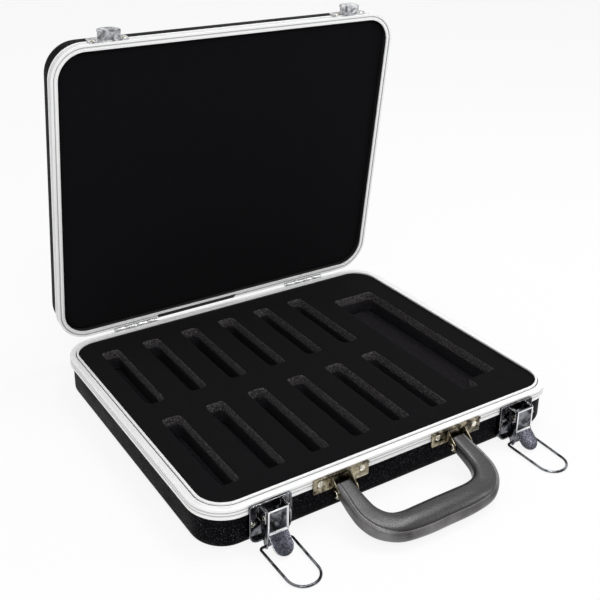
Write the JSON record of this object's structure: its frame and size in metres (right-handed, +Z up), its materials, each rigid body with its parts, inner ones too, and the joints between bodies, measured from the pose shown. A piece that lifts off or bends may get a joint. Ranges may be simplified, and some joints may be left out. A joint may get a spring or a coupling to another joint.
{
  "type": "harmonica case",
  "caption": "Hard carrying case with aluminium frames, a hinged lid, loop latches, a drop handle and cut foam that holds harmonicas.",
  "frame": {"origin": "centre of the base's underside, where the case rests", "axes": "+Z up, +Y towards the hinges, +X to the right seen from the handle side"},
  "size_m": [0.36, 0.393, 0.3437],
  "materials": {
    "shell_plastic": "moulded ABS with a pebble grain",
    "frame_aluminium": "drawn and anodised, fine lines along the outer face",
    "foam_sheet": "open-cell foam with a flocked top",
    "foam_block": "open-cell foam",
    "foam_pad": "foam pad with a flocked face",
    "edge_strip": "plain black strip",
    "handle_plastic": "moulded, soft sheen",
    "latch_chrome": "pressed steel, nickel-chrome plated",
    "rivet_nickel": "nickel plated",
    "bracket_nickel": "nickel plated, a little yellow",
    "hinge_steel": "plated steel"
  },
  "bodies": {
    "base": {"base_shell": "shell_plastic", "base_frame": "frame_aluminium", "foam_top_sheet": "foam_sheet", "foam_middle_sheet": "foam_block", "foam_bottom_sheet": "foam_block", "hinge_base_leaf_left": "hinge_steel", "hinge_base_leaf_right": "hinge_steel", "hinge_pin_left": "hinge_steel", "hinge_pin_right": "hinge_steel", "hinge_base_rivets": "hinge_steel", "latch_plate_left": "latch_chrome", "latch_plate_right": "latch_chrome", "latch_pin_left": "rivet_nickel", "latch_pin_right": "rivet_nickel", "latch_rivets": "rivet_nickel", "handle_bracket_left": "bracket_nickel", "handle_bracket_right": "bracket_nickel", "handle_pin_left": "bracket_nickel", "handle_pin_right": "bracket_nickel", "handle_bracket_rivets": "bracket_nickel"},
    "lid": {"lid_shell": "shell_plastic", "lid_frame": "frame_aluminium", "lid_edge_strip": "edge_strip", "lid_foam_pad": "foam_pad", "hinge_lid_leaf_left": "hinge_steel", "hinge_lid_leaf_right": "hinge_steel", "hinge_lid_rivets": "hinge_steel", "catch_left": "latch_chrome", "catch_right": "latch_chrome", "catch_rivets": "rivet_nickel"},
    "handle": {"handle": "handle_plastic"},
    "lever_left": {"latch_lever_left": "latch_chrome"},
    "loop_left": {"latch_bail_left": "latch_chrome"},
    "lever_right": {"latch_lever_right": "latch_chrome"},
    "loop_right": {"latch_bail_right": "latch_chrome"}
  },
  "joints": [
    {"name": "lid_hinge", "type": "hinge", "parent": "base", "child": "lid", "pos_m": [0, 0.1495, 0.0381], "axis": [-1, 0, 0], "range_deg": [-82.6, 90]},
    {"name": "handle_hinge", "type": "hinge", "parent": "base", "child": "handle", "pos_m": [-0.002, -0.155, 0.0225], "axis": [-1, 0, 0], "range_deg": [0, 90]},
    {"name": "latch_lever_left_hinge", "type": "hinge", "parent": "base", "child": "lever_left", "pos_m": [-0.126, -0.157, 0.029], "axis": [-1, 0, 0], "range_deg": [0, 120]},
    {"name": "latch_loop_left_hinge", "type": "hinge", "parent": "lever_left", "child": "loop_left", "pos_m": [-0.126, -0.1565, 0.0025], "axis": [1, 0, 0], "range_deg": [-93.72, 0]},
    {"name": "latch_lever_right_hinge", "type": "hinge", "parent": "base", "child": "lever_right", "pos_m": [0.126, -0.157, 0.029], "axis": [-1, 0, 0], "range_deg": [0, 120]},
    {"name": "latch_loop_right_hinge", "type": "hinge", "parent": "lever_right", "child": "loop_right", "pos_m": [0.126, -0.1565, 0.0025], "axis": [1, 0, 0], "range_deg": [-93.72, 0]}
  ]
}
